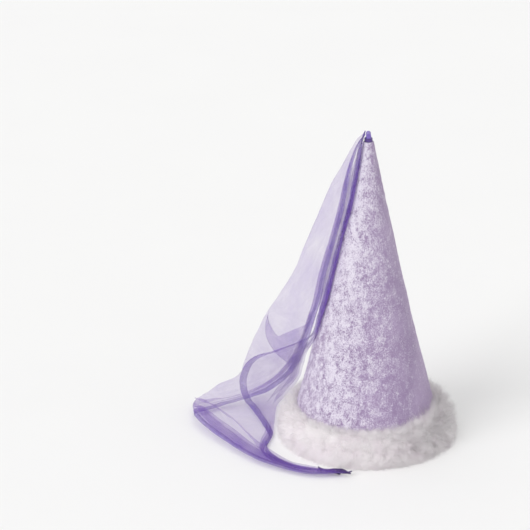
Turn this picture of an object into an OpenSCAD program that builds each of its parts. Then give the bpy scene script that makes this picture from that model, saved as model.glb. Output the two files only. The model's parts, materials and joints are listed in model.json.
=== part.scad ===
// Cone-shaped costume hat: crushed velvet over a stiff cone, a fur trim round the hem,
// and a long sheer veil whose gathered end is knotted inside the tip.
// The origin is the middle of the head opening, on the surface that the hat stands on. +Z is up.

/* [Cone] */
// Outer radius of the velvet at the hem
base_r = 100; // [96:1:106]
// Outer radius of the velvet at the tip
tip_r = 7; // [6.5:0.5:9]
// Height of the cone's tip above the table
hat_h = 408; // [380:2:440]
// Share of the radius that flares towards the hem
flare = 0.15; // [0:0.01:0.2]

/* [Fabric] */
// Thickness of the crushed velvet, with its pile
velvet_t = 1.2; // [0.8:0.1:1.4]
// Thickness of the stiff cone
stiffener_t = 1.6; // [1.2:0.1:1.8]
// Thickness of the satin lining
lining_t = 0.5; // [0.3:0.1:0.6]
// Thickness of the veil where it lies in layers
veil_t = 2.4; // [1.6:0.2:3]

/* [Fur trim] */
// Height of the fur trim's knitted backing
trim_h = 42; // [36:1:46]
// Thickness of the knitted backing
backing_t = 1; // [0.6:0.1:1.2]
// Furthest that the pile stands out from the axis
pile_r = 112; // [109:0.5:116]
// Number of tacking stitches round the trim
trim_stitch_count = 36; // [24:2:48]

/* [Sweatband] */
// Inner radius of the sweatband, which is the head size
band_r = 88.8; // [85:0.1:88.8]
// Width of the ribbon that the sweatband is made of
band_w = 18; // [12:1:18]

/* [Veil] */
// Radius of the gathered end of the veil, where it passes through the tip
neck_r = 3.92; // [3:0.02:3.94]
// Width of each hem along the veil's long edges
hem_w = 7; // [4:0.5:9]
// Rings along the veil's panel
veil_rings = 60; // [40:4:80]

/* [Hidden] */
$fn = 96;

hem_z = 2;              // the velvet's folded edge clears the table by this much
gap = 0.1;              // between one layer of cloth and the next
profile_steps = 10;     // straight stretches down the side of the cone
channel_w = 2.2;        // width of the channel that the stiff cone and the wire sit in
turned_h = 14;          // how far the velvet is turned up inside the hem
lining_top = 380;       // the lining ends below the knot's hole
tip_hole_r = 4;         // running clearance round the veil's neck
lip_t = 1.2;            // velvet turned in over the end of the stiff cone

stiffener_in = velvet_t + gap;                     // how far each layer lies inside the velvet
turned_in = velvet_t + channel_w;
lining_in = turned_in + velvet_t + gap;
wire_r = 0.75;
wire_in = velvet_t + channel_w / 2;
wire_z = hem_z + velvet_t + wire_r + 0.35;
stiffener_z = wire_z + wire_r + 0.4;
thread_r = 0.3;

// Share of the way down from the tip to the hem.
function down(z) = (hat_h - z) / (hat_h - hem_z);

// Outer radius of the velvet at height z.
function cone_r(z) = tip_r + (base_r - tip_r) * ((1 - flare) * down(z) + flare * down(z) * down(z));

// Angle by which the side of the cone leans in at height z.
function lean(z) = atan((cone_r(z - 1) - cone_r(z + 1)) / 2);

// Points down the side of the cone from z1 to z0, set in from the velvet's face.
function side(z0, z1, in) = [
    for (i = [0:profile_steps])
        let (z = z1 + (z0 - z1) * i / profile_steps) [cone_r(z) - in, z]
];

function reversed(list) = [for (i = [len(list) - 1:-1:0]) list[i]];

// A layer of cloth round the cone from z0 to z1, between two depths below the velvet's face.
module cone_layer(z0, z1, outer_in, inner_in) {
    rotate_extrude()
        polygon(concat(side(z0, z1, outer_in), reversed(side(z0, z1, inner_in))));
}

// Stitches set out round the axis, each lying along the child's own direction.
module ring_of(count) {
    for (i = [0:count - 1])
        rotate([0, 0, 360 * i / count]) children();
}

module velvet_cover() {
    color("#b9a3cf")
    difference() {
        union() {
            cone_layer(hem_z, hat_h, 0, velvet_t);
            cone_layer(hem_z, hem_z + turned_h, turned_in, turned_in + velvet_t);
            cone_layer(hem_z, hem_z + velvet_t, velvet_t / 2, turned_in + velvet_t / 2);
            translate([0, 0, hat_h]) cylinder(r = tip_r, h = lip_t);
        }
        translate([0, 0, hat_h - lip_t]) cylinder(r = tip_hole_r, h = 3 * lip_t);
    }
}

module cone_stiffener() {
    color("#e8e2d4")
    cone_layer(stiffener_z, hat_h - gap, stiffener_in, stiffener_in + stiffener_t);
}

module stiffener_seam_tape() {
    tape_angle = 9;
    tape_in = stiffener_in + stiffener_t + 0.05;
    color("#f2ead2")
    rotate([0, 0, 90 - tape_angle / 2])
        rotate_extrude(angle = tape_angle)
            polygon(concat(
                side(hem_z + turned_h + 3, lining_top - 6, tape_in),
                reversed(side(hem_z + turned_h + 3, lining_top - 6, tape_in + 0.35))
            ));
}

module satin_lining() {
    color("#cbb8dc")
    cone_layer(hem_z + 3, lining_top, lining_in, lining_in + lining_t);
}

module edge_wire() {
    color("#9a9aa2")
    rotate_extrude()
        translate([cone_r(wire_z) - wire_in, wire_z]) circle(r = wire_r, $fn = 24);
}

module wire_ferrule() {
    ferrule_angle = 8;
    color("#b8b8bd")
    rotate([0, 0, 90 - ferrule_angle / 2])
        rotate_extrude(angle = ferrule_angle)
            translate([cone_r(wire_z) - wire_in, wire_z])
                difference() {
                    circle(r = wire_r + 0.28, $fn = 24);
                    circle(r = wire_r + 0.05, $fn = 24);
                }
}

module sweatband() {
    band_t = 0.8;
    color("#8f7bb4")
    translate([0, 0, hem_z + 1])
        difference() {
            cylinder(r = band_r + band_t, h = band_w);
            translate([0, 0, -1]) cylinder(r = band_r, h = band_w + 2);
        }
}

module sweatband_stitches() {
    stitch_l = 4.8;
    color("#6f5a9c")
    ring_of(48)
        translate([band_r + 0.4, 0, hem_z + 1 - thread_r - 0.1])
            rotate([0, 90, 0]) cylinder(r = thread_r, h = stitch_l, $fn = 16);
}

module fur_backing() {
    color("#f1eef3")
    cone_layer(hem_z + 0.5, trim_h, -gap - backing_t, -gap);
}

module fur_pile() {
    face = gap + backing_t + 0.1;   // the pile's root, just off the backing
    root_top = trim_h - 5;
    color("#f7f5f8")
    rotate_extrude()
        polygon(concat(
            [
                [cone_r(0) + face, 0],
                [pile_r - 4.5, 0],
                [pile_r - 1.2, 5],
                [pile_r, 13],
                [pile_r - 1, 22],
                [pile_r - 4.5, 34],
                [pile_r - 9.5, 43],
                [pile_r - 15, 48.5],
                [cone_r(trim_h + 6) + 5, trim_h + 7]
            ],
            side(hem_z + 0.5, root_top, -face)
        ));
}

module trim_stitches() {
    stitch_l = 3.6;
    stitch_z = trim_h - 0.5;
    stand_off = gap + backing_t + thread_r + 0.1;
    color("#e4e0ea")
    ring_of(trim_stitch_count)
        translate([cone_r(stitch_z) + stand_off, 0, stitch_z])
            rotate([0, -lean(stitch_z), 0])
                cylinder(r = thread_r, h = stitch_l, center = true, $fn = 16);
}

module back_seam_stitches() {
    stitch_l = 3;
    pitch = 7;
    first_z = 60;
    count = floor((hat_h - 12 - first_z) / pitch);
    color("#a48fbd")
    for (i = [0:count])
        let (z = first_z + i * pitch)
            rotate([0, 0, 90])
                translate([cone_r(z) + thread_r + 0.15, 0, z])
                    rotate([0, -lean(z), 0])
                        cylinder(r = thread_r, h = stitch_l, center = true, $fn = 16);
}

// The veil turns over the tip about this point, 10 mm above the end of the cone.
turn_z = hat_h + 10;
roll_r = 3.2;

module veil_neck() {
    neck_z = 338;
    color("#9a8acb")
    translate([0, 0, neck_z]) cylinder(r = neck_r, h = turn_z - roll_r - 0.3 - neck_z);
}

module veil_knot() {
    knot_r = 3.1;
    color("#9a8acb")
    translate([0, 0, 346])
        rotate_extrude()
            for (level = [0, 1])
                translate([tip_hole_r + knot_r, level * 4.4]) circle(r = knot_r, $fn = 32);
}

module neck_binding() {
    color("#5f4d9c")
    translate([0, 0, hat_h + lip_t + 0.5])
        difference() {
            cylinder(r = neck_r + 1.3, h = 3.6);
            translate([0, 0, -1]) cylinder(r = tip_hole_r, h = 6);
        }
}

module veil_roll() {
    color("#8f7fc6")
    translate([0, 0, turn_z]) rotate([90, 0, 0]) cylinder(r = roll_r, h = 11, center = true);
}

// The veil's two long edges, from the tip to the end of the train. The outer edge falls
// furthest from the cone and goes round the outside of the turn on the table.
outer_edge = [
    [-4.6, 5, 419.5], [-15, 9, 404], [-27, 13, 376], [-46, 20, 337], [-66, 28, 294],
    [-90, 42, 233], [-115, 56, 174], [-137, 70, 116], [-155, 84, 68], [-177, 94, 34],
    [-208, 86, 18], [-227, 58, 7], [-219, 22, 2.2], [-196, -12, 1.5], [-165, -50, 1.5],
    [-126, -94, 1.5], [-78, -122, 1.5], [-20, -131, 1.5]
];
inner_edge = [
    [-4.6, -5, 419.5], [-10, -7, 405], [-14, -12, 372], [-21, -16.5, 330], [-31, -17.5, 285],
    [-42.5, -20, 233], [-53.5, -19.5, 188], [-65, -16, 146], [-77, 28, 100], [-88, 76, 44],
    [-103, 84, 15], [-118, 60, 4.5], [-122, 26, 2.2], [-125, -8, 1.5], [-124, -40, 1.5],
    [-104, -74, 1.5], [-68, -102, 1.5], [-18, -117, 1.5]
];

// Catmull-Rom curve through a list of points, with u from 0 to 1.
function curve(points, u) =
    let (
        last = len(points) - 1,
        at = min(u * last, last - 0.0001),
        i = floor(at),
        f = at - i,
        p0 = points[max(i - 1, 0)],
        p1 = points[i],
        p2 = points[i + 1],
        p3 = points[min(i + 2, last)]
    )
    0.5 * (2 * p1 + (p2 - p0) * f + (2 * p0 - 5 * p1 + 4 * p2 - p3) * f * f
        + (3 * p1 - p0 - 3 * p2 + p3) * f * f * f);

function unit(v) = v / norm(v);

// A point on the veil, where u runs down its length and v across it from the outer edge, in mm.
function veil_point(u, v) =
    let (a = curve(outer_edge, u), b = curve(inner_edge, u)) a + unit(b - a) * v;

function veil_width(u) = norm(curve(inner_edge, u) - curve(outer_edge, u));

function veil_normal(u) =
    let (
        step = 0.01,
        u0 = max(u - step, 0),
        u1 = min(u + step, 1),
        along = (curve(outer_edge, u1) + curve(inner_edge, u1)) - (curve(outer_edge, u0) + curve(inner_edge, u0)),
        across = curve(inner_edge, u) - curve(outer_edge, u)
    )
    unit(cross(along, across));

// The hem's width at u: full along the fall, and narrower where the veil is gathered.
function hem_at(u) = min(hem_w, veil_width(u) * 0.2);

// Four corners of the veil's section at u, between a share of the way from each edge.
function veil_ring(u, v0, v1) =
    let (n = veil_normal(u) * veil_t / 2, a = veil_point(u, v0), b = veil_point(u, v1))
    [a + n, b + n, b - n, a - n];

// Joins rings of four points into one closed solid.
module skin(rings) {
    last = len(rings) - 1;
    points = [for (ring = rings) each ring];
    sides = [
        for (i = [0:last - 1], k = [0:3])
            let (a = 4 * i + k, b = 4 * i + (k + 1) % 4)
                each [[a, b, b + 4], [a, b + 4, a + 4]]
    ];
    ends = [[3, 2, 1], [3, 1, 0], [4 * last, 4 * last + 1, 4 * last + 2], [4 * last, 4 * last + 2, 4 * last + 3]];
    polyhedron(points, concat(sides, ends));
}

seam = 0.3;          // between the panel and each hem
panel_end = 0.985;   // where the end hem starts
steps = [for (i = [0:veil_rings]) 0.012 + (panel_end - 0.012) * i / veil_rings];

module veil_panel() {
    color("#b7a8dd")
    skin([for (u = steps) veil_ring(u, hem_at(u) + seam, veil_width(u) - hem_at(u) - seam)]);
}

module veil_hem_outer() {
    color("#7d6dc0")
    skin([for (u = steps) veil_ring(u, 0, hem_at(u))]);
}

module veil_hem_inner() {
    color("#7d6dc0")
    skin([for (u = steps) veil_ring(u, veil_width(u) - hem_at(u), veil_width(u))]);
}

module veil_end_hem() {
    color("#4a3a7c")
    skin([for (u = [panel_end + 0.002, 1]) veil_ring(u, 0, veil_width(u))]);
}

velvet_cover();
cone_stiffener();
stiffener_seam_tape();
satin_lining();
edge_wire();
wire_ferrule();
sweatband();
sweatband_stitches();
fur_backing();
fur_pile();
trim_stitches();
back_seam_stitches();
veil_neck();
veil_knot();
neck_binding();
veil_roll();
veil_panel();
veil_hem_outer();
veil_hem_inner();
veil_end_hem();
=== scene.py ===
"""A cone-shaped costume hat in crushed velvet, with a fur trim and a sheer veil, on a pale floor."""
import json
import math
import bpy
import numpy as np
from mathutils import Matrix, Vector

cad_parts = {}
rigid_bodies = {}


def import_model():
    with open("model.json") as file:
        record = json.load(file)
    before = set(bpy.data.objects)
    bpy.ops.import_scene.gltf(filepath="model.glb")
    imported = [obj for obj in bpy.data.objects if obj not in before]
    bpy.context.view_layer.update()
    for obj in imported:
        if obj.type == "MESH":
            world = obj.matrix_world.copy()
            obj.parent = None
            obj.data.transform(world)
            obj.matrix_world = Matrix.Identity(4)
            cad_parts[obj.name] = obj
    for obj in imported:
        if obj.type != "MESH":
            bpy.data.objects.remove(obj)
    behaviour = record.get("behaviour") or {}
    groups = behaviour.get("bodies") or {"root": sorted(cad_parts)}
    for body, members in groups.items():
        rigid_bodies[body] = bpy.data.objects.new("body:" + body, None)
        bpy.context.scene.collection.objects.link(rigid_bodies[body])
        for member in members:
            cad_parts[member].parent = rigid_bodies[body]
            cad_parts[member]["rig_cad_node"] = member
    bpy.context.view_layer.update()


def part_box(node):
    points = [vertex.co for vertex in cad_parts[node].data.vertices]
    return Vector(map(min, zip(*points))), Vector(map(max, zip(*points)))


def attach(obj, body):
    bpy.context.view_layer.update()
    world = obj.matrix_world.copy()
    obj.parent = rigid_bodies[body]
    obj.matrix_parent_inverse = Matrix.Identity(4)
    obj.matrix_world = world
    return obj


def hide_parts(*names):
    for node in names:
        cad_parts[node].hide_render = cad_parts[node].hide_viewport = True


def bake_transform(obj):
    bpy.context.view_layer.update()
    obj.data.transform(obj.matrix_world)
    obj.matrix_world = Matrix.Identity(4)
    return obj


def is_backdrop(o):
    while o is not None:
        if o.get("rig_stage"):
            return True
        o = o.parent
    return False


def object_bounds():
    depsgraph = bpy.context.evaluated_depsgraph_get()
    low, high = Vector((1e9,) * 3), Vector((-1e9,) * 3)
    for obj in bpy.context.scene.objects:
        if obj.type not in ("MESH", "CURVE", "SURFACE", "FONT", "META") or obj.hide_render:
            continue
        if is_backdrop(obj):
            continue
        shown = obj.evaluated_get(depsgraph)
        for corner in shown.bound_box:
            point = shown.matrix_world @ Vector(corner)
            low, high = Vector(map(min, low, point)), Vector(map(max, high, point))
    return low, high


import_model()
MM = 0.001
RNG = np.random.default_rng(7)

bpy.context.scene.view_settings.view_transform = "Standard"
bpy.context.scene.cycles.transparent_max_bounces = 60
bpy.context.scene.cycles.max_bounces = 14
bpy.context.scene.cycles.diffuse_bounces = 12

# ---------------------------------------------------------------- camera, floor, light

PICTURE_W = 0.6784        # width of the view where the hat stands
DISTANCE = 5.0
ELEVATION = math.radians(23.5)
AIM = (-0.1306, 0.0, 0.2387)

cam = bpy.data.objects.new("camera", bpy.data.cameras.new("camera"))
bpy.context.scene.collection.objects.link(cam)
cam.data.lens = 36 * DISTANCE / PICTURE_W
cam.data.clip_end = 50
cam.location = (AIM[0], AIM[1] - DISTANCE * math.cos(ELEVATION), AIM[2] + DISTANCE * math.sin(ELEVATION))
cam.rotation_euler = (math.pi / 2 - ELEVATION, 0, 0)
bpy.context.scene.camera = cam


def sun(name, towards, strength, spread):
    """Soft light from far off, so that the whole floor is lit alike. towards is the way that it shines."""
    data = bpy.data.lights.new(name, "SUN")
    data.energy = strength
    data.angle = math.radians(spread)
    obj = bpy.data.objects.new(name, data)
    bpy.context.scene.collection.objects.link(obj)
    obj.rotation_euler = Vector(towards).to_track_quat("-Z", "Y").to_euler()


sun("key", (0.75, 0.62, -0.62), 1.55, 38)
sun("fill", (-0.7, 0.5, -0.5), 0.25, 60)
sun("top", (0.1, -0.25, -1.0), 0.55, 70)

world = bpy.data.worlds.new("world")
bpy.context.scene.world = world
world.use_nodes = True
world.node_tree.nodes["Background"].inputs["Color"].default_value = (1.0, 0.998, 0.995, 1)
world.node_tree.nodes["Background"].inputs["Strength"].default_value = 0.65

# ---------------------------------------------------------------- small tools


def link(obj):
    bpy.context.scene.collection.objects.link(obj)
    return obj


def mesh_object(name, points, faces, smooth=True):
    """Object from points in metres and a list or an array of faces."""
    mesh = bpy.data.meshes.new(name)
    if isinstance(faces, np.ndarray):
        faces = faces.tolist()
    mesh.from_pydata(np.asarray(points, float).tolist(), [], faces)
    mesh.validate()
    if smooth:
        mesh.shade_smooth()
    return link(bpy.data.objects.new(name, mesh))


def grid_faces(rows, cols, wrap_rows=False, wrap_cols=False):
    """Quads over a grid of points that is stored row by row."""
    i = np.arange(rows if wrap_rows else rows - 1)
    j = np.arange(cols if wrap_cols else cols - 1)
    ii, jj = np.meshgrid(i, j, indexing="ij")
    i2, j2 = (ii + 1) % rows, (jj + 1) % cols
    return np.stack([ii * cols + jj, ii * cols + j2, i2 * cols + j2, i2 * cols + jj], -1).reshape(-1, 4)


def catmull(points, t):
    """Catmull-Rom curve through points (n, ...) at each t from 0 to 1."""
    p = np.asarray(points, float)
    last = len(p) - 1
    at = np.clip(np.asarray(t, float) * last, 0, last - 1e-9)
    i = at.astype(int)
    f = (at - i).reshape((-1,) + (1,) * (p.ndim - 1))
    p0, p1 = p[np.maximum(i - 1, 0)], p[i]
    p2, p3 = p[np.minimum(i + 1, last)], p[np.minimum(i + 2, last)]
    return 0.5 * (2 * p1 + (p2 - p0) * f + (2 * p0 - 5 * p1 + 4 * p2 - p3) * f ** 2
                  + (3 * p1 - p0 - 3 * p2 + p3) * f ** 3)


def lumps(x, y, seed, scale, octaves=3):
    """Smooth value from -1 to 1 that wanders over x and y, made of a few crossed waves."""
    r = np.random.default_rng(seed)
    out = np.zeros(np.broadcast(x, y).shape)
    total = 0
    for o in range(octaves):
        for _ in range(5):
            a = r.uniform(0, 2 * math.pi)
            k = 2 * math.pi / scale * 2 ** o * r.uniform(0.7, 1.3)
            out = out + 0.5 ** o * np.sin(k * (x * math.cos(a) + y * math.sin(a)) + r.uniform(0, 6.28))
            total += 0.5 ** o * 0.5
    return out / total


class Nodes:
    """Short way to build a material's nodes."""

    def __init__(self, name):
        self.mat = bpy.data.materials.new(name)
        self.mat.use_nodes = True
        self.tree = self.mat.node_tree
        self.bsdf = self.tree.nodes["Principled BSDF"]
        self.out = self.tree.nodes["Material Output"]

    def add(self, kind, links=None, **values):
        n = self.tree.nodes.new("ShaderNode" + kind)
        for key, value in values.items():
            setattr(n, key, value)
        for key, value in (links or {}).items():
            self.put(n, key, value)
        return n

    def put(self, node, key, value):
        socket = node.inputs[key]
        if isinstance(value, bpy.types.NodeSocket):
            self.tree.links.new(value, socket)
        else:
            socket.default_value = value

    def coords(self, scale=(1, 1, 1)):
        """Place on the object, in metres."""
        tc = self.add("TexCoord")
        m = self.add("Mapping", {"Vector": tc.outputs["Object"], "Scale": scale})
        return m.outputs["Vector"]

    def noise(self, vector, scale, detail=3, rough=0.5):
        n = self.add("TexNoise", {"Vector": vector, "Scale": scale, "Detail": detail, "Roughness": rough})
        return n.outputs["Fac"]

    def math(self, op, a, b=0.0, clamp=False):
        n = self.add("Math", {0: a, 1: b}, operation=op, use_clamp=clamp)
        return n.outputs[0]

    def ramp(self, fac, *stops):
        n = self.add("ValToRGB", {"Fac": fac})
        e = n.color_ramp.elements
        while len(e) < len(stops):
            e.new(0.5)
        for k, (at, colour) in enumerate(stops):
            e[k].position = at
            e[k].color = (*colour, 1) if len(colour) == 3 else colour
        return n.outputs["Color"]

    def mix(self, fac, a, b, kind="MIX"):
        n = self.add("Mix", data_type="RGBA", blend_type=kind)
        self.put(n, 0, fac)
        self.put(n, 6, a if isinstance(a, bpy.types.NodeSocket) else (*a, 1))
        self.put(n, 7, b if isinstance(b, bpy.types.NodeSocket) else (*b, 1))
        return n.outputs[2]

    def bump(self, height, strength, distance):
        n = self.add("Bump", {"Height": height, "Strength": strength, "Distance": distance})
        return n.outputs["Normal"]

    def times_plus(self, value, times, plus, clamp=False):
        """value * times + plus"""
        n = self.add("Math", {0: value, 1: times, 2: plus}, operation="MULTIPLY_ADD", use_clamp=clamp)
        return n.outputs[0]


def paint(obj, material):
    obj.data.materials.clear()
    obj.data.materials.append(material)


def node_object(name):
    return next(o for o in bpy.context.scene.objects if o.get("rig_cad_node") == name)


# ---------------------------------------------------------------- materials

THREAD_PITCH = 1.6 * MM        # of the organza's weave, drawn coarse enough to be seen


def velvet_material():
    """Crushed velvet: the pile lies in small tufts that point every way, so each catches the light alone.
    These glints are painted highlights, bright flecks in the colour, and the right side, away from the light,
    is painted in a darker, smoother shade.
    """
    n = Nodes("velvet")
    c = n.coords((1, 1, 0.75))
    place = n.add("SeparateXYZ", {"Vector": n.coords()}).outputs
    reach = n.math("SQRT", n.math("ADD", n.math("POWER", place[0], 2.0), n.math("POWER", place[1], 2.0)))
    turn = n.math("DIVIDE", place[0], n.math("ADD", reach, 0.002))        # -1 on the left to 1 on the right
    stir = n.add("TexNoise", {"Vector": c, "Scale": 360, "Detail": 2, "Roughness": 0.6})
    moved = n.add("VectorMath", {0: stir.outputs["Color"], 3: 0.005}, operation="SCALE")
    moved = n.add("VectorMath", {0: c, 1: moved.outputs[0]}, operation="ADD").outputs[0]
    tufts = n.noise(moved, 820, 3, 0.78)
    fine = n.noise(c, 1700, 2, 0.6)
    patches = n.noise(c, 115, 4, 0.7)
    wide = n.noise(c, 26, 2, 0.5)
    # painted light and shade by side: the left, which faces the key light, gets more painted highlights and a
    # brighter mottled colour, and the right gets fewer and a darker, smoother painted shade
    side = n.times_plus(turn, -0.75, 0.62, clamp=True)
    painted_highlight_mask = n.math("ADD", n.math("MULTIPLY", patches, 0.5), n.math("MULTIPLY", side, 0.13))
    painted_highlight_mask = n.math("ADD", painted_highlight_mask, n.math("MULTIPLY", tufts, 0.9))
    painted_highlight_mask = n.math("ADD", painted_highlight_mask, n.math("MULTIPLY", fine, 0.3))
    # painted light: the painted highlights grow towards the tip, painting it brighter
    painted_highlight_mask = n.math("ADD", painted_highlight_mask, n.math("MULTIPLY", place[2], 0.16))      # and more towards the tip
    # painted shade: fewer painted highlights at the left edge, painting it darker
    edge = n.times_plus(turn, -5.0, -3.6, clamp=True)                         # but less at the left edge
    painted_highlight_mask = n.math("SUBTRACT", painted_highlight_mask, n.math("MULTIPLY", edge, 0.045))
    # smooth is the darker, even colour of the right side, painted shade; rough mixes the tufts' own mottling
    # with painted shade between them and painted light on them
    smooth = n.ramp(n.math("ADD", n.math("MULTIPLY", wide, 0.6), n.math("MULTIPLY", tufts, 0.4)),
                    (0.38, (0.36, 0.255, 0.455)), (0.62, (0.485, 0.37, 0.58)))
    rough = n.ramp(n.math("ADD", n.math("MULTIPLY", patches, 0.4), n.math("MULTIPLY", tufts, 0.6)),
                   (0.38, (0.22, 0.145, 0.29)), (0.47, (0.40, 0.30, 0.49)), (0.60, (0.56, 0.46, 0.65)))
    # side mixes the painted-shade colour of the right into the painted-light colour of the left
    base = n.add("Mix", data_type="RGBA")
    n.put(base, 0, side)
    n.put(base, 6, smooth)
    n.put(base, 7, rough)
    # painted highlights: bright flecks mixed into the colour where the mask is high, standing in for glints
    # of the tufts
    painted_flecks = n.ramp(painted_highlight_mask, (0.96, (0, 0, 0)), (1.065, (1, 1, 1)))
    colour = n.mix(n.math("MULTIPLY", painted_flecks, 0.76), base.outputs[2], (0.88, 0.85, 0.93))
    n.put(n.bsdf, "Base Color", colour)
    n.put(n.bsdf, "Roughness", 0.45)
    n.put(n.bsdf, "Sheen Weight", 0.3)
    n.put(n.bsdf, "Sheen Roughness", 0.35)
    n.put(n.bsdf, "Sheen Tint", (0.88, 0.80, 0.96, 1))
    n.put(n.bsdf, "Specular IOR Level", 0.5)
    height = n.math("ADD", n.math("MULTIPLY", tufts, 0.7), n.math("MULTIPLY", fine, 0.2))
    height = n.math("ADD", height, n.math("MULTIPLY", patches, 0.4))
    n.put(n.bsdf, "Normal", n.bump(height, 0.7, 0.003))
    return n.mat


def fur_material(name, gaps=0.0, light=(0.988, 0.967, 0.976), shade=(0.95, 0.91, 0.935)):
    """Pale fibre: part of the light goes through each hair and comes out tinted."""
    n = Nodes(name)
    c = n.coords()
    tint = n.ramp(n.noise(c, 60, 3, 0.6), (0.35, shade), (0.6, light))
    n.put(n.bsdf, "Base Color", tint)
    n.put(n.bsdf, "Roughness", 0.6)
    n.put(n.bsdf, "Sheen Weight", 0.4)
    n.put(n.bsdf, "Sheen Roughness", 0.4)
    through = n.add("BsdfTranslucent", {"Color": tint})
    both = n.add("MixShader", {0: 0.55, 1: n.bsdf.outputs[0], 2: through.outputs[0]})
    if gaps:
        clear = n.add("BsdfTransparent", {"Color": (1, 1, 1, 1)})
        both = n.add("MixShader", {0: gaps, 1: both.outputs[0], 2: clear.outputs[0]})
    n.put(n.out, "Surface", both.outputs[0])
    return n.mat


def organza_material(name, cover, colour, see=(0.985, 0.975, 0.985)):
    """Sheer weave: light passes between the threads. cover is the share of the cloth that is thread."""
    n = Nodes(name)
    tc = n.add("TexCoord")
    uv = n.add("SeparateXYZ", {"Vector": tc.outputs["UV"]})
    threads = []
    for axis in (0, 1):
        wave = n.math("SINE", n.math("MULTIPLY", uv.outputs[axis], 2 * math.pi / THREAD_PITCH))
        threads.append(n.math("MULTIPLY", wave, 0.5))
    weave = n.math("ADD", threads[0], threads[1])
    stretched = n.add("Mapping", {"Vector": tc.outputs["UV"], "Scale": (1, 0.12, 1)}).outputs["Vector"]
    streaks = n.noise(stretched, 120, 3, 0.6)
    cloud = n.math("MULTIPLY", n.math("ADD", n.noise(tc.outputs["Object"], 30, 3, 0.5), streaks), 0.5)
    cloud = n.times_plus(cloud, 2.6, -0.8, clamp=True)
    alpha = n.math("ADD", n.math("MULTIPLY", weave, cover * 0.12), n.math("MULTIPLY", cloud, cover * 0.9))
    alpha = n.math("ADD", alpha, cover * 0.55, clamp=True)
    n.put(n.bsdf, "Base Color", n.mix(cloud, colour, tuple(min(1, x * 1.35) for x in colour)))
    n.put(n.bsdf, "Roughness", 0.42)
    n.put(n.bsdf, "Specular IOR Level", 0.4)
    n.put(n.bsdf, "Sheen Weight", 0.12)
    n.put(n.bsdf, "Sheen Roughness", 0.3)
    n.put(n.bsdf, "Normal", n.bump(n.math("ADD", weave, n.math("MULTIPLY", cloud, 3.0)), 0.4, 0.0004))
    clear = n.add("BsdfTransparent", {"Color": (*see, 1)})
    back = n.add("BsdfTranslucent", {"Color": (*colour, 1)})
    cloth = n.add("MixShader", {0: 0.45, 1: n.bsdf.outputs[0], 2: back.outputs[0]})
    both = n.add("MixShader", {0: alpha, 1: clear.outputs[0], 2: cloth.outputs[0]})
    n.put(n.out, "Surface", both.outputs[0])
    n.mat.surface_render_method = "BLENDED"
    return n.mat


def cloth_material(name, colour, scale=900, rough=0.75, sheen=0.2, strength=0.3):
    """Plain close weave."""
    n = Nodes(name)
    c = n.coords()
    parts = n.add("SeparateXYZ", {"Vector": c})
    round_it = n.math("ADD", parts.outputs[0], parts.outputs[1])
    wave_a = n.math("SINE", n.math("MULTIPLY", round_it, scale * 6.28))
    wave_b = n.math("SINE", n.math("MULTIPLY", parts.outputs[2], scale * 6.28))
    weave = n.math("MULTIPLY", wave_a, wave_b)
    cloud = n.noise(c, 40, 4, 0.6)
    dark = tuple(x * 0.72 for x in colour)
    n.put(n.bsdf, "Base Color", n.mix(cloud, dark, tuple(min(1, x * 1.15) for x in colour)))
    n.put(n.bsdf, "Roughness", rough)
    n.put(n.bsdf, "Sheen Weight", sheen)
    n.put(n.bsdf, "Normal", n.bump(weave, strength, 0.0002))
    return n.mat


def metal_material():
    n = Nodes("steel_wire")
    c = n.coords()
    n.put(n.bsdf, "Base Color", n.mix(n.noise(c, 90, 4), (0.42, 0.42, 0.44), (0.62, 0.62, 0.64)))
    n.put(n.bsdf, "Metallic", 1.0)
    n.put(n.bsdf, "Roughness", n.times_plus(n.noise(c, 300, 2), 0.3, 0.2))
    return n.mat


VELVET = velvet_material()
FUR = fur_material("fur", 0.35)
ORGANZA = organza_material("organza", 0.162, (0.25, 0.135, 0.54))
HEM = organza_material("organza_hem", 0.28, (0.215, 0.14, 0.50))
END_HEM = cloth_material("overlock", (0.045, 0.02, 0.11), 1200, 0.6)

# ---------------------------------------------------------------- the inside, and what CAD made

paint(node_object("cone_stiffener"), cloth_material("buckram", (0.72, 0.67, 0.56), 700, 0.85))
paint(node_object("stiffener_seam_tape"), cloth_material("seam_tape", (0.80, 0.74, 0.60), 900, 0.8))
paint(node_object("satin_lining"), cloth_material("satin", (0.52, 0.40, 0.66), 1500, 0.3, 0.4, 0.15))
paint(node_object("sweatband"), cloth_material("ribbon", (0.25, 0.17, 0.42), 500, 0.6, 0.3, 0.7))
paint(node_object("fur_backing"), cloth_material("backing", (0.82, 0.79, 0.83), 600, 0.85))
for name in ("sweatband_stitches", "back_seam_stitches"):
    paint(node_object(name), cloth_material(name + "_thread", (0.30, 0.20, 0.46), 1600, 0.5))
paint(node_object("trim_stitches"), cloth_material("white_thread", (0.80, 0.77, 0.83), 1600, 0.5))
paint(node_object("edge_wire"), metal_material())
paint(node_object("wire_ferrule"), bpy.data.materials["steel_wire"])

# ---------------------------------------------------------------- velvet cover

low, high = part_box("velvet_cover")
BASE_R = (high[0] - low[0]) / 2
HEM_Z = low[2]
LIP = 1.2 * MM
TOP_Z = high[2] - LIP
TIP_R = 7 * MM
FLARE = 0.15


def cone_r(z):
    """Outer radius of the velvet at height z."""
    down = (TOP_Z - np.asarray(z, float)) / (TOP_Z - HEM_Z)
    return TIP_R + (BASE_R - TIP_R) * ((1 - FLARE) * down + FLARE * down ** 2)


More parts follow.
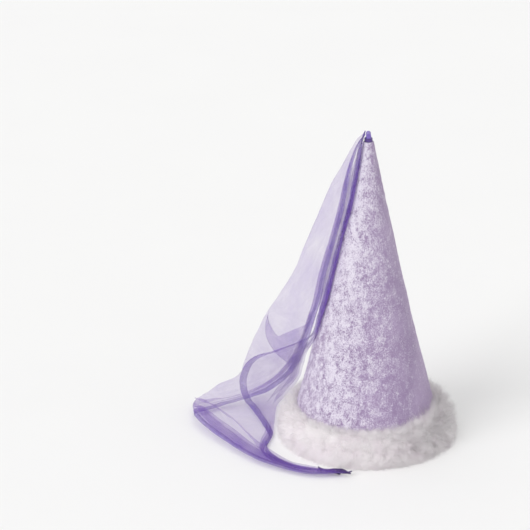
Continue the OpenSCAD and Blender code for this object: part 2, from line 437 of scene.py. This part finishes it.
def velvet_cover():
    """Closed shell of revolution: the face, the edge over the tip, the back, and the hem turned up inside."""
    turned = HEM_Z + 14 * MM
    inner = HEM_Z + 1.3 * MM
    up = np.linspace(HEM_Z + 1.0 * MM, TOP_Z - 0.4 * MM, 222)
    skin = np.stack([cone_r(up), up], 1)
    thick = 1.2 * MM
    rim = [[cone_r(turned) - 4.6 * MM, turned], [cone_r(inner) - 4.6 * MM, inner],
           [cone_r(HEM_Z) - 4.3 * MM, HEM_Z + 0.4 * MM], [cone_r(HEM_Z) - 3.4 * MM, HEM_Z],
           [cone_r(HEM_Z) - 1.2 * MM, HEM_Z], [cone_r(HEM_Z) - 0.3 * MM, HEM_Z + 0.3 * MM]]
    tip = [[TIP_R - 0.3 * MM, TOP_Z + 0.6 * MM], [TIP_R - 1.1 * MM, TOP_Z + 1.15 * MM],
           [4.3 * MM, TOP_Z + 1.1 * MM], [4.05 * MM, TOP_Z + 0.5 * MM], [4.05 * MM, TOP_Z - 1.0 * MM]]
    down = np.linspace(TOP_Z - 2 * MM, inner, 18)
    back = np.stack([cone_r(down) - thick, down], 1)
    fold = [[cone_r(inner) - 3.4 * MM, inner], [cone_r(turned) - 3.4 * MM, turned]]
    profile = np.concatenate([rim, skin, tip, back, fold])
    outside = np.zeros(len(profile))
    outside[len(rim):len(rim) + len(skin)] = 1
    turns = 300
    angle = np.linspace(0, 2 * math.pi, turns, endpoint=False)
    r, z = profile[:, :1], profile[:, 1:2]
    around = angle[None, :] * np.maximum(r, 0.02)
    # the cloth isn't quite even on the cone, and it is drawn in along the back seam
    off = 0.55 * MM * lumps(around, z, 3, 0.09) + 0.22 * MM * lumps(around, z, 5, 0.012, 2)
    seam = np.abs((angle[None, :] - math.pi / 2 + math.pi) % (2 * math.pi) - math.pi) * r
    off = off - 0.5 * MM * np.exp(-(seam / (1.2 * MM)) ** 2)
    off = off + 0.3 * MM * np.exp(-(seam / (9 * MM)) ** 2) * np.sin(z / (7 * MM) * 2 * math.pi)
    rr = r + off * outside[:, None] * np.clip((TOP_Z - z) / 0.03, 0.1, 1)
    points = np.stack([rr * np.cos(angle), rr * np.sin(angle), np.broadcast_to(z, rr.shape)], -1)
    obj = mesh_object("velvet_cover_crushed", points.reshape(-1, 3),
                      grid_faces(len(profile), turns, True, True)[:, ::-1])
    paint(obj, VELVET)
    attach(obj, "hat")
    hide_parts("velvet_cover")


velvet_cover()

# ---------------------------------------------------------------- fur trim

# Outline of the pile's dense part, from the velvet at the top, over and down: radius and height in mm.
PILE = np.array([
    [90.4, 41.0], [92.4, 42.5], [95.5, 41.5], [99.6, 36.5], [103.0, 29.0], [105.4, 20.0], [106.2, 12.0],
    [105.2, 5.5], [103.4, 1.6], [102.4, 0.9],
]) * MM
PILE_RUN = 90 * MM             # length of that outline, about
LUMP_R = 105 * MM              # radius that turns an angle into a length for the pile's lumps
LOCKS, HAIRS = 1250, 31        # locks in each quarter of the ring, and hairs in each lock


def fur_base():
    """Dense lower part of the pile, which the loose hair stands on."""
    outline = catmull(PILE, np.linspace(0, 1, 42))
    root = np.stack([cone_r(np.linspace(3, 36, 6) * MM) + 1.4 * MM, np.linspace(3, 36, 6) * MM], 1)
    profile = np.concatenate([outline, root])
    turns = 420
    angle = np.linspace(0, 2 * math.pi, turns, endpoint=False)
    centre = np.array([98 * MM, 22 * MM])
    away = profile - centre
    away /= np.linalg.norm(away, axis=1)[:, None]
    soft = np.ones(len(profile))
    soft[len(outline):] = 0
    soft[:2] = 0.3
    s = np.arange(len(profile))[:, None] * 2.0 * MM
    off = 0.9 * lumps(angle[None, :] * LUMP_R, s, 11, 0.030)
    off = -1.4 + off + 0.8 * lumps(angle[None, :] * LUMP_R, s, 12, 0.009)
    off = off * MM * soft[:, None]
    r = profile[:, :1] + away[:, :1] * off
    z = np.maximum(profile[:, 1:2] + away[:, 1:2] * off, 0.3 * MM)
    points = np.stack([r * np.cos(angle), r * np.sin(angle), np.broadcast_to(z, r.shape)], -1)
    obj = mesh_object("fur_underpile", points.reshape(-1, 3), grid_faces(len(profile), turns, True, True))
    paint(obj, fur_material("underpile"))
    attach(obj, "hat")
    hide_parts("fur_pile")


def on_pile(u, angle):
    """Points of the pile's face at each u along its outline, and the ways out, down and to the side there."""
    outline = catmull(PILE, u)
    ahead, behind = catmull(PILE, np.clip(u + 0.01, 0, 1)), catmull(PILE, np.clip(u - 0.01, 0, 1))
    t = ahead - behind
    t /= np.linalg.norm(t, axis=1)[:, None]
    out = np.stack([-t[:, 1], t[:, 0]], 1)
    flip = np.sign((out * (outline - np.array([97 * MM, 20 * MM]))).sum(1))[:, None]
    out = out * np.where(flip == 0, 1, flip)
    ca, sa = np.cos(angle), np.sin(angle)

    def turned(v):
        return np.stack([v[:, 0] * ca, v[:, 0] * sa, v[:, 1]], 1)

    return turned(outline), turned(out), turned(t), np.stack([-sa, ca, np.zeros(len(u))], 1)


def fuller(angle):
    """1 where the trim stands out most, at the right, and 0 at the front, left and back."""
    return np.clip(1.2 * np.cos(angle + 0.1) - 0.2, 0, 1) ** 2


def fur_hair(name, locks, each, start, end):
    """Loose hairs in locks over one stretch of the ring. Each is a flat strip that tapers to its tip."""
    u = np.clip(RNG.uniform(-0.02, 0.985, locks), 0.004, 0.985)
    angle = RNG.uniform(start, end, locks)
    point, out, down, side = on_pile(u, angle)
    full = fuller(angle)
    # locks at the top lie up over the velvet, and the rest lean out and down
    lean_down = np.interp(u, [0, 0.1, 0.2, 0.35, 0.7, 1], [0.4, 0.1, -0.3, 0.2, 0.8, 0.4])
    lean_down = lean_down + 0.35 * lumps(angle * LUMP_R, u * PILE_RUN, 21, 0.020, 2)
    lean_down = lean_down + RNG.normal(0, 0.22, locks)
    lean_down = lean_down - full * np.interp(u, [0, 0.4, 0.7], [0.3, 0.8, 0])
    lean_side = 0.45 * lumps(angle * LUMP_R, u * PILE_RUN, 22, 0.017, 2) + RNG.normal(0, 0.3, locks)
    way = out + down * lean_down[:, None] + side * lean_side[:, None]
    way /= np.linalg.norm(way, axis=1)[:, None]
    length = RNG.uniform(7, 12, locks) * MM * (1 + 0.65 * full)
    length = length * np.interp(u, [0, 0.06, 0.16, 0.25, 0.8, 1], [1.5, 1.2, 1.05, 1.0, 0.9, 0.55])
    end_point = point + way * length[:, None] - np.array([0, 0, 1.0]) * (length * 0.12)[:, None]
    # hairs of a lock
    count = locks * each
    home = np.repeat(np.arange(locks), each)
    hu = np.clip(u[home] + RNG.normal(0, 0.045, count), 0.002, 0.99)
    ha = angle[home] + RNG.normal(0, 0.032, count)
    root, hair_out, _, _ = on_pile(hu, ha)
    root = root - hair_out * (3.0 * MM)                     # hairs start inside the dense pile
    tip = end_point[home] + RNG.normal(0, 2.7 * MM, (count, 3))
    # at the trim's upper edge most hairs are short, and a few long ones stray over the velvet
    short = np.interp(hu, [0.04, 0.17], [0.5, 1.0])
    stray = RNG.random(count) < 0.12
    share = RNG.uniform(0.7, 1.15, count) * np.where(stray, 1.0 + 0.2 * fuller(ha), short)
    tip = root + (tip - root) * share[:, None]
    middle = root + hair_out * (np.linalg.norm(tip - root, axis=1) * 0.5)[:, None]
    way = tip - root
    way /= np.maximum(np.linalg.norm(way, axis=1), 1e-9)[:, None]
    across = np.cross(way, hair_out)
    across /= np.maximum(np.linalg.norm(across, axis=1), 1e-6)[:, None]
    width = RNG.uniform(0.24, 0.5, count) * MM
    rings = []
    for s, w in ((0, 1.0), (0.4, 0.85), (0.75, 0.5), (1.0, 0.0)):
        p = root * (1 - s) ** 2 + middle * (2 * s * (1 - s)) + tip * s ** 2
        p[:, 2] = np.maximum(p[:, 2], 0.25 * MM)
        # no hair stands out far enough to touch the veil as it swings past, and none goes into the velvet
        top = (49 + 20 * fuller(ha)) * MM
        p[:, 2] = np.minimum(p[:, 2], top + 0.3 * np.maximum(p[:, 2] - top, 0))
        off_axis = np.maximum(np.linalg.norm(p[:, :2], axis=1), 1e-6)
        most = (116 + 4 * fuller(ha)) * MM
        reach = np.minimum(off_axis, most + 0.3 * np.maximum(off_axis - most, 0))
        reach = np.maximum(reach, cone_r(p[:, 2]) + 1.1 * MM)
        p[:, :2] *= (reach / off_axis)[:, None]
        if w > 0:
            rings += [p - across * (width * w / 2)[:, None], p + across * (width * w / 2)[:, None]]
        else:
            rings += [p]
    points = np.stack(rings, 1).reshape(-1, 3)
    corners = len(rings)
    first = np.arange(count)[:, None] * corners
    quads = np.concatenate([first + np.array([[0, 1, 3, 2]]), first + np.array([[2, 3, 5, 4]])])
    tips = first + np.array([[4, 5, 6]])
    faces = quads.tolist() + tips.tolist()
    obj = mesh_object(name, points, faces)
    # every hair is lit as the pile's face under it is, which keeps the fur soft
    lit = hair_out + np.array([0, 0, 0.25]) + 0.45 * (way - hair_out)
    lit /= np.linalg.norm(lit, axis=1)[:, None]
    obj.data.normals_split_custom_set_from_vertices(np.repeat(lit, corners, axis=0).tolist())
    obj.visible_shadow = False        # light passes between real hairs, and these strips would block it
    paint(obj, FUR)
    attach(obj, "hat")


fur_base()
for k, side in enumerate(("right", "back", "left", "front")):
    a = -math.pi / 4 + k * math.pi / 2
    fur_hair("fur_hair_" + side, LOCKS, HAIRS, a, a + math.pi / 2)

# ---------------------------------------------------------------- veil

# Guide lines down the veil, in mm. A is the hem that shows, L the fold on the left, R the fold or edge
# on the right, and C the hem of the layer that is turned back behind.
A = [(-4.6, -5, 420), (-12, -5, 409), (-20, -5, 385), (-27, -6, 352), (-33, -9, 319),
     (-43, -8, 277), (-54, -7, 234), (-61, -8, 193), (-68, -6, 166), (-74, -4, 142),
     (-80, 16, 112), (-88, 46, 78), (-103, 69, 46), (-126, 76, 24), (-150, 79, 13),
     (-178, 71, 7), (-201, 61, 4), (-221, 45, 6), (-221, 22, 10), (-204, -10, 9),
     (-176, -50, 8), (-147, -86, 7), (-114, -111, 6), (-70, -131, 5), (-20, -128, 4)]
L = [(-4.6, 5, 420), (-16, 8, 406), (-32, 12, 372), (-47, 20, 340), (-62, 27, 300),
     (-77, 36, 258), (-92, 45, 215), (-115, 55, 169), (-129, 64, 141), (-142, 72, 110),
     (-151, 80, 84), (-158, 88, 60), (-167, 95, 38), (-190, 96, 26), (-207, 95, 14),
     (-217, 90, 10), (-222, 84, 9), (-219, 75, 14), (-210, 63, 17), (-192, 43, 14),
     (-169, 14, 11), (-149, -27, 9), (-126, -62, 7), (-99, -94, 5), (-62, -111, 4)]
R = [(-3.6, 4, 421), (-8, -7, 409), (-11, -10, 384), (-15.4, -12, 356), (-21.8, -15.5, 322),
     (-32, -15.5, 280), (-41, -17.5, 239), (-51, -17.5, 196), (-58, -16.5, 172), (-64, -14, 146),
     (-75, 20, 108), (-80, 50, 76), (-84, 82, 42), (-97, 89, 20), (-106, 86, 10),
     (-114, 74, 6), (-117, 50, 4), (-118, 28, 3), (-119, 6, 3), (-122, -18, 3),
     (-128, -44, 3), (-130, -76, 3), (-108, -100, 3), (-73, -115, 3), (-35, -122, 2)]
C = [(-3.6, 6, 421), (-11, -3, 409), (-16, -6, 384), (-20.5, -8, 356), (-27, -11, 322),
     (-37.5, -11, 280), (-46.5, -12.5, 239), (-56.5, -12.5, 196), (-63, -11, 172), (-72, 3, 137),
     (-114, 73, 85), (-147, 86, 68), (-162, 94, 42), (-164, 97, 22), (-159, 87, 7),
     (-151, 70, 4), (-144, 50, 3), (-137, 30, 2), (-130, 10, 2), (-126, -12, 2),
     (-130, -36, 2), (-122, -62, 2), (-103, -88, 2), (-80, -107, 2), (-49, -117, 1.5)]
A, L, R, C = (np.array(g, float) * MM for g in (A, L, R, C))
STATIONS = len(A) - 1
ROWS, COLS = 380, 240         # points down the veil and across it
HEM_W = 9.5 * MM
TURN_AT = 16.7                # station of the round fold where it turns over on the floor
# Along the veil: how far the pleats at hem A and at R are folded, and how wide they are in mm.
AT = [0, 1, 2, 3, 4, 6, 7, 8, 9, 10, 12, 14, 16, 18, 20, 22, 24]
FOLDED = [1, 1, 1, 1, 1, 1, 1, 0.9, 0.75, 0.75, 0.75, 0.5, 0.0, 0.65, 0.9, 1, 1]
PLEAT_A = [2, 4, 8, 10, 12, 15, 15, 15, 16, 19, 22, 22, 22, 41, 43, 37, 27]
PLEAT_R = [2, 5, 11, 18, 20, 22, 17, 8, 6, 18, 22, 20, 6, 10, 14, 22, 14]


def veil_surface():
    """Points of the veil, row by row from the tip, from hem A round the left fold to hem C."""
    # rows lie closer together where the cloth has slumped into a fold
    at = np.interp(np.linspace(0, 1, ROWS), [0, 0.27, 0.60, 0.78, 1], [0, 7.5, 12, 18.5, STATIONS])
    u = at / STATIONS
    a, l, r, c = (catmull(g, u) for g in (A, L, R, C))
    lying = np.clip((0.045 - l[:, 2]) / 0.03, 0, 1)[:, None]       # 0 where it hangs, 1 where it lies
    toward = np.array([0.25, -0.95, 0.1]) * (1 - lying) + np.array([0, 0, 1.0]) * lying

    def along(values):
        return np.interp(at, AT, values)[:, None]

    q = along(FOLDED)
    wa = np.minimum(along(PLEAT_A) * MM, (0.62 + 0.3 * lying) * np.linalg.norm(l - a, axis=1)[:, None])
    wr = np.minimum(along(PLEAT_R) * MM, 0.62 * np.linalg.norm(l - r, axis=1)[:, None])
    gather = np.interp(at, [0, 1.5, 4, 10, 15, 16.5, 18, 24],
                       [0.15, 0.5, 1.0, 1.0, 0.6, 0.25, 0.6, 0.6])[:, None]
    step = 1.7 * MM * gather * (1 - 0.6 * lying)
    from_a = (l - a) / np.maximum(np.linalg.norm(l - a, axis=1)[:, None], 1e-6)
    from_r = (l - r) / np.maximum(np.linalg.norm(l - r, axis=1)[:, None], 1e-6)
    hang = gather * (1 - lying)

    def near_a(folded, flat, level):
        """Point by hem A: folded is its share of the pleat's width, flat its reach in mm with no pleat."""
        return a + from_a * (q * folded * wa + (1 - q) * flat * MM) + toward * step * level * q

    def near_r(folded, flat, level):
        return r + from_r * (q * folded * wr + (1 - q) * flat * MM) + toward * step * level * q

    cross = np.stack([
        near_a(0, 0, 3.2), near_a(0.5, 5, 3.3), near_a(1.0, 10, 2.7),
        near_a(0.5, 14, 2.2), near_a(0.06, 18, 1.6), near_a(0.4, 22, 1.1),
        near_a(0.8, 26, 0.8), near_a(0.45, 30, 0.4), near_a(0.2, 34, 0.0),
        a + (l - a) * 0.5 + toward * (4.5 * MM * hang + 0.4 * MM),
        a + (l - a) * 0.78 + toward * (5 * MM * hang + 0.8 * MM),
        l + (a - l) * 0.03 + toward * 1.3 * MM * gather,
        l - toward * 0.2 * MM,
        l + (r - l) * 0.05 - toward * 2.0 * MM * gather,
        l + (r - l) * 0.35 - toward * (5 * MM * hang + 1.0 * MM),
        l + (r - l) * 0.60 - toward * (4 * MM * hang + 1.0 * MM),
        near_r(0.5, 30, 2.0), near_r(0.08, 24, 2.1), near_r(0.5, 19, 1.8), near_r(1.0, 15, 1.5),
        near_r(0.5, 11, 1.2), near_r(0.14, 8, 0.9), near_r(0.86, 4, 0.6), near_r(0.4, 2, 0.4),
        r + toward * step * 0.3 * q,
        r + (c - r) * 0.12 - toward * 1.0 * MM * gather,
        r + (c - r) * 0.55 - toward * 1.5 * MM * hang,
        c,
    ], 0)
    knots = len(cross) - 1
    v = np.linspace(0, 1, COLS)
    surface = catmull(cross, v).transpose(1, 0, 2)
    # the front layer has slumped: it hangs over itself in a fold with a deep V at its top
    for j, knot in enumerate(v * knots):
        share = (11.4 - knot) / 4.4                       # 0 at the left fold, 1 in the pleats of hem A
        if not 0 < share < 1.15:
            continue
        top = np.interp(share, [0, 0.25, 0.5, 0.65, 0.77, 0.9, 1.0], [7.6, 8.4, 9.1, 8.6, 8.25, 7.9, 7.6])
        depth = np.interp(share, [0, 0.25, 0.5, 0.65, 0.77, 0.9, 1.0, 1.15],
                          [0, 0.6, 0.95, 2.1, 3.1, 2.5, 2.0, 0])
        p = np.clip((at - top) / max(depth, 1e-6), 0, 1)
        inside = (p > 0) & (p < 1)
        bent = top + depth * (p + 0.72 * np.sin(2 * math.pi * p))
        source = np.where(inside, bent, at)
        column = np.stack([np.interp(source, at, surface[:, j, k]) for k in range(3)], 1)
        out = 2.4 * MM * np.sin(2 * math.pi * p) * inside * min(1, depth)
        surface[:, j] = column + toward * out[:, None]
    # soft waves that start in the gathered tip and fade on the way down
    vv, uu = v[None, :], u[:, None]
    fade = np.interp(at, [0, 1.5, 5, 12, 17, 24], [0.2, 0.8, 1.0, 0.7, 0.8, 1.0])[:, None]
    wave = (0.9 * np.sin(2 * math.pi * (6 * vv + 0.7 * np.sin(4 * uu)))
            + 0.8 * np.sin(2 * math.pi * (11 * vv + 1.9 * uu))
            + 0.7 * np.sin(2 * math.pi * (17 * vv - 2.6 * uu)))
    drift = 2.0 * lumps(uu * 0.9, vv * 0.35, 31, 0.13, 3) + 0.7 * lumps(uu * 0.9, vv * 0.35, 32, 0.03, 2)
    surface = surface + toward[:, None, :] * ((wave * fade + drift) * MM * (1 - 0.5 * lying))[:, :, None]
    # where it turns over on the floor, the fold is round
    turn = np.exp(-((at - TURN_AT) / 0.8) ** 2)[:, None]
    between = ((surface - a[:, None]) * (l - a)[:, None]).sum(2)      # 0 at hem A to 1 at the left fold
    between = between / np.maximum(((l - a) ** 2).sum(1), 1e-9)[:, None]
    surface[:, :, 0] -= 6.5 * MM * turn * np.sin(math.pi * np.clip(between, 0, 1))
    # the end of the cloth ripples
    ripple = np.clip((at - 22.6) / 1.4, 0, 1)[:, None] * np.sin(2 * math.pi * (9 * vv + 0.3))
    surface[:, :, 2] += 1.2 * MM * (ripple + np.abs(ripple))
    surface[:, :, 1] += 0.8 * MM * ripple
    surface[:, :, 2] = np.maximum(surface[:, :, 2], 0.6 * MM)
    return surface


def lengths(line):
    """How far along the line each of its points is."""
    return np.concatenate([[0], np.cumsum(np.linalg.norm(np.diff(line, axis=0), axis=1))])


def give_uv(obj, uv):
    """uv is one pair a point, in metres of cloth."""
    layer = obj.data.uv_layers.new(name="cloth")
    loops = np.empty(len(obj.data.loops), int)
    obj.data.loops.foreach_get("vertex_index", loops)
    layer.data.foreach_set("uv", np.asarray(uv, float)[loops].ravel())


def band(surface, start, width, name, material):
    """A hem: a thin closed strip over both faces of the cloth, along its first or its last column."""
    lift, steps = 0.45 * MM, 6
    rows = []
    for row in surface:
        line = row if start == 0 else row[::-1]
        far = lengths(line)
        reach = min(width, far[-1] * 0.2)
        at = np.linspace(0, reach, steps)
        rows.append(np.stack([np.interp(at, far, line[:, k]) for k in range(3)], 1))
    strip = np.array(rows)
    along = np.gradient(strip, axis=0)
    across = np.gradient(strip, axis=1)
    normal = np.cross(along, across)
    normal /= np.maximum(np.linalg.norm(normal, axis=2), 1e-12)[:, :, None]
    ring = np.concatenate([strip + normal * lift, (strip - normal * lift)[:, ::-1]], 1)
    ring[:, :, 2] = np.maximum(ring[:, :, 2], 0.3 * MM)
    count = ring.shape[1]
    faces = grid_faces(len(ring), count, False, True).tolist()
    faces.append(list(range(count))[::-1])
    faces.append([(len(ring) - 1) * count + k for k in range(count)])
    obj = mesh_object(name, ring.reshape(-1, 3), faces)
    far = lengths(strip[:, 0])
    there = np.arange(steps) * width / (steps - 1)
    uv = np.stack([np.tile(np.concatenate([there, there[::-1]]), len(ring)), np.repeat(far, count)], 1)
    give_uv(obj, uv)
    paint(obj, material)
    return obj


def tube(line, radius, name, material, sides=8):
    """Closed round tube along a line of points."""
    line = np.asarray(line, float)
    t = np.gradient(line, axis=0)
    t /= np.maximum(np.linalg.norm(t, axis=1), 1e-12)[:, None]
    up = np.array([0.0, 0, 1])
    side = np.cross(t, up)
    side /= np.maximum(np.linalg.norm(side, axis=1), 1e-9)[:, None]
    other = np.cross(side, t)
    a = np.linspace(0, 2 * math.pi, sides, endpoint=False)
    radius = np.broadcast_to(radius, len(line))
    ring = line[:, None, :] + radius[:, None, None] * (
        side[:, None, :] * np.cos(a)[None, :, None] + other[:, None, :] * np.sin(a)[None, :, None])
    faces = grid_faces(len(line), sides, False, True).tolist()
    faces += [list(range(sides))[::-1], [(len(line) - 1) * sides + k for k in range(sides)]]
    obj = mesh_object(name, ring.reshape(-1, 3), faces)
    paint(obj, material)
    return obj


def veil():
    surface = veil_surface()
    sheet = mesh_object("veil_organza", surface.reshape(-1, 3), grid_faces(ROWS, COLS))
    across = np.array([lengths(row) for row in surface])
    down = lengths(surface[:, COLS // 2])
    give_uv(sheet, np.stack([across.ravel(), np.repeat(down, COLS)], 1))
    paint(sheet, ORGANZA)
    outer = band(surface, 0, HEM_W, "veil_hem_front", HEM)
    inner = band(surface, 1, HEM_W, "veil_hem_back", HEM)
    end = surface[-1].copy()
    end[:, 2] = np.maximum(end[:, 2], 1.2 * MM)
    edge = tube(end, 0.9 * MM, "veil_end_overlock", END_HEM)
    for piece, node in ((sheet, "veil_panel"), (outer, "veil_hem_outer"), (inner, "veil_hem_inner"),
                        (edge, "veil_end_hem")):
        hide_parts(node)
        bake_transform(piece)


veil()
for name in ("veil_neck", "veil_knot", "veil_roll"):
    paint(node_object(name), cloth_material(name + "_organza", (0.20, 0.13, 0.50), 900, 0.5, 0.3))
paint(node_object("neck_binding"), cloth_material("binding_thread", (0.10, 0.05, 0.25), 1600, 0.5))

# ---------------------------------------------------------------- floor


def floor():
    size = 6.0
    obj = mesh_object("floor", [(-size, -size, 0), (size, -size, 0), (size, size, 0), (-size, size, 0)],
                      [(0, 1, 2, 3)], smooth=False)
    n = Nodes("floor")
    c = n.coords()
    n.put(n.bsdf, "Base Color", n.mix(n.noise(c, 6, 2), (0.835, 0.835, 0.832), (0.85, 0.85, 0.847)))
    n.put(n.bsdf, "Roughness", 0.7)
    paint(obj, n.mat)
    obj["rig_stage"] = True


floor()

low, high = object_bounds()
